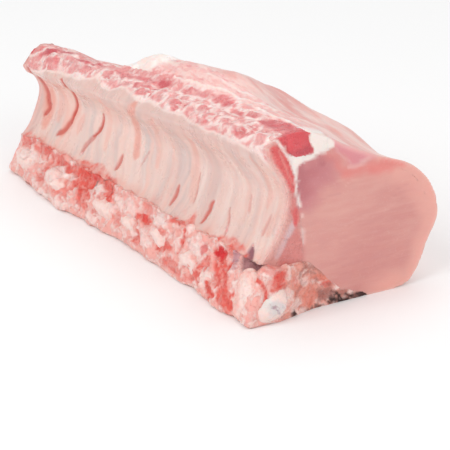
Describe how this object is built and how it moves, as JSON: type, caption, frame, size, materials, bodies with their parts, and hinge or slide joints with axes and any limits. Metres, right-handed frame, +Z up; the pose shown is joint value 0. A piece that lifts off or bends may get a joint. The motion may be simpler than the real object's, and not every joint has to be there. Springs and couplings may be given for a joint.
{
  "type": "raw pork rack",
  "caption": "Raw bone-in pork rack: a tapering block of loin with short sawn ribs along its hollow, lined side and a sawn backbone below.",
  "frame": {"origin": "on the floor, under the middle of the rack's bounding box", "axes": "+X along the backbone towards the large cut face, +Y from the hollow rib side to the back of the loin, +Z up through the sawn rib ends"},
  "size_m": [0.2644, 0.129, 0.0974],
  "materials": {
    "loin_meat": "moist raw muscle, fine grain, soft sheen",
    "back_meat": "moist raw muscle with a thin pale skin of fat",
    "dark_meat": "moist dark red raw muscle, soft sheen",
    "fat": "smooth firm white fat, satin",
    "lining": "wet translucent lining over meat and ribs, glossy",
    "chine_meat": "rough sawn meat and marrow, moist",
    "sawn_bone": "sawn raw bone, pale pink, satin",
    "rib_bone": "raw rib bone, pale with red marrow at the cut, satin",
    "gristle": "smooth bluish-white gristle, glossy"
  },
  "bodies": {
    "root": {"loin_eye": "loin_meat", "back_layer": "back_meat", "cap_muscle": "dark_meat", "seam_fat": "fat", "rib_wall": "lining", "chine": "chine_meat", "spine_process": "sawn_bone", "chine_gristle": "gristle", "rib_1": "rib_bone", "rib_2": "rib_bone", "rib_3": "rib_bone", "rib_4": "rib_bone", "rib_5": "rib_bone", "rib_6": "rib_bone", "rib_7": "rib_bone", "rib_8": "rib_bone", "vertebra_1": "sawn_bone", "vertebra_2": "sawn_bone", "vertebra_3": "sawn_bone", "vertebra_4": "sawn_bone", "vertebra_5": "sawn_bone", "vertebra_6": "sawn_bone", "vertebra_7": "sawn_bone"}
  },
  "joints": []
}
